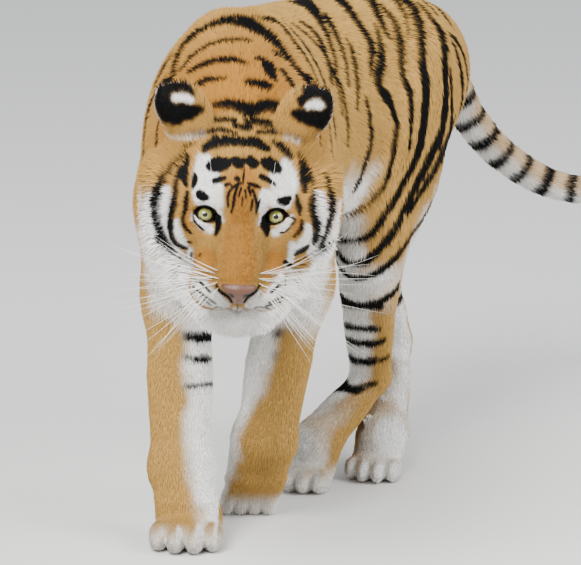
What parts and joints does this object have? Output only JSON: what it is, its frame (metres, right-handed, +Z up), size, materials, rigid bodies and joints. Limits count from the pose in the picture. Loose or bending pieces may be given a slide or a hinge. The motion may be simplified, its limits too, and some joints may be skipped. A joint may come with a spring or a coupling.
{
  "type": "tiger",
  "caption": "Life-size adult Amur tiger walking with its head low, striped orange and white coat, long ringed tail hooked up at the tip.",
  "frame": {"origin": "on the floor under the middle of the bounding box", "axes": "+Z up, -Y the way the nose points, +X towards the animal's left flank"},
  "size_m": [1.0582, 1.7144, 1.0111],
  "materials": {
    "coat": "short dense fur, orange and white with black stripes",
    "nose": "bare moist skin",
    "eye": "wet, pale yellow-green iris with a round pupil"
  },
  "bodies": {
    "root": {"head": "coat", "nose": "nose", "right_ear": "coat", "left_ear": "coat", "right_eye": "eye", "left_eye": "eye", "neck": "coat", "chest": "coat", "barrel": "coat", "rump": "coat", "tail_base": "coat", "tail_middle": "coat", "tail_tip": "coat", "right_fore_upper": "coat", "right_fore_forearm": "coat", "right_fore_paw": "coat", "left_fore_upper": "coat", "left_fore_forearm": "coat", "left_fore_paw": "coat", "right_hind_thigh": "coat", "right_hind_shank": "coat", "right_hind_hock": "coat", "right_hind_paw": "coat", "left_hind_thigh": "coat", "left_hind_shank": "coat", "left_hind_hock": "coat", "left_hind_paw": "coat"}
  },
  "joints": []
}
